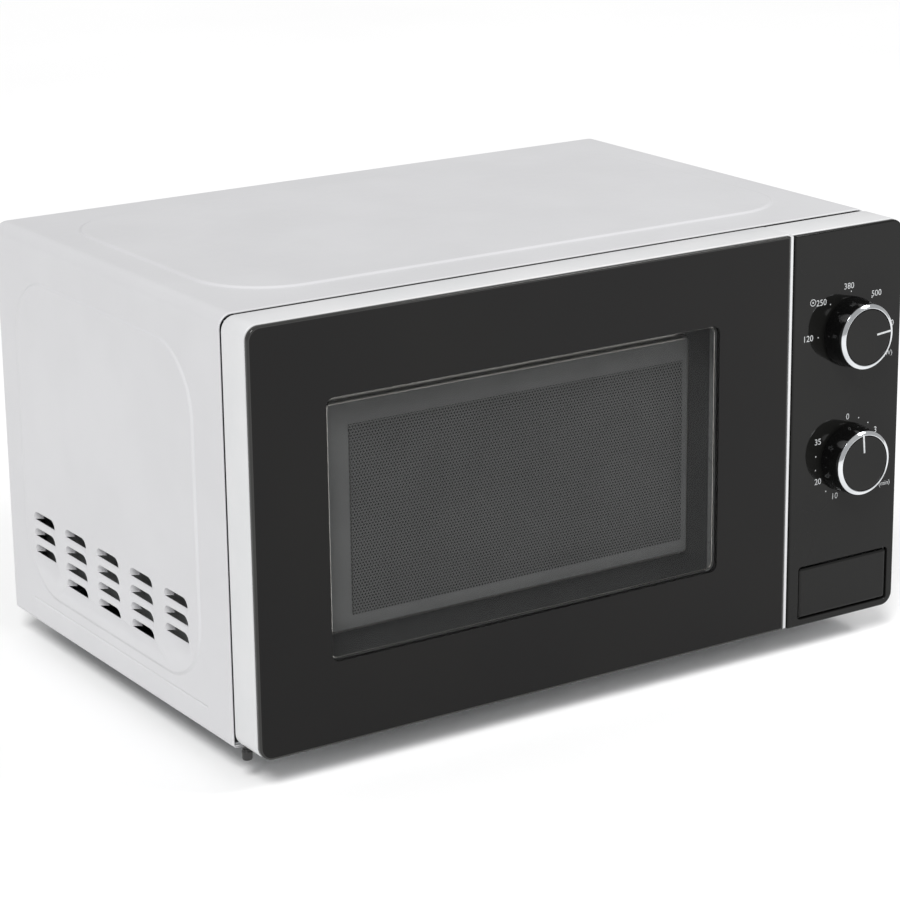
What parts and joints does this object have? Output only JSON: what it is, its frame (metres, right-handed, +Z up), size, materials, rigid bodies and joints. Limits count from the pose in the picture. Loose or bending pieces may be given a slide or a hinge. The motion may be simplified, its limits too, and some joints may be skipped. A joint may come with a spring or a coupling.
{
  "type": "microwave oven",
  "caption": "Countertop microwave oven with a side-hinged dark glass door, two round dials, a release button and a glass turntable.",
  "frame": {"origin": "on the worktop, under the middle of the oven's overall box", "axes": "+Z up, the door and dials face -Y, +X to the right as seen from the front"},
  "size_m": [0.44, 0.3332, 0.259],
  "materials": {
    "white_paint": "semi-gloss powder coat",
    "white_plastic": "satin",
    "black_glass": "gloss, printed black on the back",
    "black_plastic": "gloss",
    "grey_plastic": "matte",
    "chrome_plate": "mirror",
    "zinc_steel": "zinc plated",
    "grey_enamel": "grey enamel",
    "copper_wire": "varnished copper wire",
    "clear_glass": "clear",
    "mica": "pressed mica sheet",
    "rubber": "matte",
    "cast_aluminium": "satin"
  },
  "bodies": {
    "oven_body": {"outer_cabinet": "white_paint", "base_plate": "zinc_steel", "rear_panel": "zinc_steel", "cord_inlet_bush": "black_plastic", "front_left_foot": "rubber", "front_right_foot": "rubber", "rear_left_foot": "rubber", "rear_right_foot": "rubber", "front_frame": "white_paint", "cavity_shell": "grey_enamel", "waveguide_cover": "mica", "turntable_motor": "zinc_steel", "waveguide": "zinc_steel", "magnetron_yoke": "zinc_steel", "magnetron_anode": "cast_aluminium", "magnetron_filter_box": "zinc_steel", "transformer_core": "zinc_steel", "transformer_primary": "copper_wire", "transformer_secondary": "copper_wire", "high_voltage_capacitor": "cast_aluminium", "capacitor_clamp": "zinc_steel", "high_voltage_diode": "black_plastic", "fan_shroud": "grey_plastic", "fan_motor_core": "zinc_steel", "fan_motor_coil": "copper_wire", "oven_lamp": "clear_glass", "lamp_holder": "white_plastic", "upper_hinge": "zinc_steel", "lower_hinge": "black_plastic", "control_panel_frame": "white_plastic", "control_panel_inlay": "black_glass", "timer_unit": "black_plastic", "power_selector": "grey_plastic", "timer_bell": "chrome_plate", "interlock_bracket": "black_plastic", "lower_door_switch": "black_plastic", "upper_door_switch": "black_plastic"},
    "door": {"door_frame": "white_plastic", "door_glass": "black_glass", "door_choke_panel": "grey_enamel", "door_screen": "grey_enamel", "door_inner_film": "clear_glass", "door_inner_cover": "black_plastic", "latch_spring_guide": "zinc_steel"},
    "door_latch": {"door_latch": "white_plastic"},
    "power_knob": {"power_knob": "black_plastic", "power_knob_ring": "chrome_plate", "power_shaft": "zinc_steel"},
    "timer_knob": {"timer_knob": "black_plastic", "timer_knob_ring": "chrome_plate", "timer_shaft": "zinc_steel"},
    "release_button": {"door_release_button": "black_plastic"},
    "release_lever": {"release_lever": "white_plastic"},
    "fan": {"fan_blade": "grey_plastic"},
    "turntable": {"turntable_coupler": "white_plastic", "glass_turntable": "clear_glass"},
    "roller_ring": {"roller_ring": "white_plastic"},
    "roller_wheel_1": {"roller_wheel_1": "white_plastic"},
    "roller_wheel_2": {"roller_wheel_2": "white_plastic"},
    "roller_wheel_3": {"roller_wheel_3": "white_plastic"}
  },
  "joints": [
    {"name": "door_swing", "type": "hinge", "parent": "oven_body", "child": "door", "pos_m": [-0.2152, -0.1268, 0.138], "axis": [0, 0, -1], "range_deg": [0, 100]},
    {"name": "latch_lift", "type": "slide", "parent": "door", "child": "door_latch", "axis": [0, 0, 1], "range_m": [0, 0.004], "stiffness_N_per_m": 150},
    {"name": "button_press", "type": "slide", "parent": "oven_body", "child": "release_button", "axis": [0, 1, 0], "range_m": [0, 0.0045], "stiffness_N_per_m": 400},
    {"name": "lever_turn", "type": "hinge", "parent": "oven_body", "child": "release_lever", "pos_m": [0.148, -0.1251, 0.065], "axis": [1, 0, 0], "range_deg": [0, 12]},
    {"name": "power_turn", "type": "hinge", "parent": "oven_body", "child": "power_knob", "pos_m": [0.1813, -0.158, 0.1945], "axis": [0, 1, 0], "range_deg": [-175, 0]},
    {"name": "timer_turn", "type": "hinge", "parent": "oven_body", "child": "timer_knob", "pos_m": [0.1813, -0.158, 0.118], "axis": [0, 1, 0], "range_deg": [0, 300]},
    {"name": "fan_spin", "type": "hinge", "parent": "oven_body", "child": "fan", "pos_m": [0.1619, 0.1416, 0.131], "axis": [0, 1, 0], "continuous": true},
    {"name": "turntable_spin", "type": "hinge", "parent": "oven_body", "child": "turntable", "pos_m": [-0.049, 0.01155, 0.05], "axis": [0, 0, 1], "continuous": true},
    {"name": "ring_roll", "type": "hinge", "parent": "oven_body", "child": "roller_ring", "pos_m": [-0.049, 0.01155, 0.046], "axis": [0, 0, 1], "continuous": true},
    {"name": "wheel_1_roll", "type": "hinge", "parent": "roller_ring", "child": "roller_wheel_1", "pos_m": [0.035, 0.01155, 0.046], "axis": [1, 0, 0], "continuous": true},
    {"name": "wheel_2_roll", "type": "hinge", "parent": "roller_ring", "child": "roller_wheel_2", "pos_m": [-0.091, 0.0843, 0.046], "axis": [-0.5, 0.866, 0], "continuous": true},
    {"name": "wheel_3_roll", "type": "hinge", "parent": "roller_ring", "child": "roller_wheel_3", "pos_m": [-0.091, -0.0612, 0.046], "axis": [-0.5, -0.866, 0], "continuous": true}
  ],
  "couplings": [
    {"joint": "latch_lift", "follows": "button_press", "ratio": 0.8888},
    {"joint": "lever_turn", "follows": "button_press", "rad_per_m": 44.44},
    {"joint": "ring_roll", "follows": "turntable_spin", "ratio": 0.5},
    {"joint": "wheel_1_roll", "follows": "turntable_spin", "ratio": -6.269},
    {"joint": "wheel_2_roll", "follows": "turntable_spin", "ratio": -6.269},
    {"joint": "wheel_3_roll", "follows": "turntable_spin", "ratio": -6.269}
  ]
}
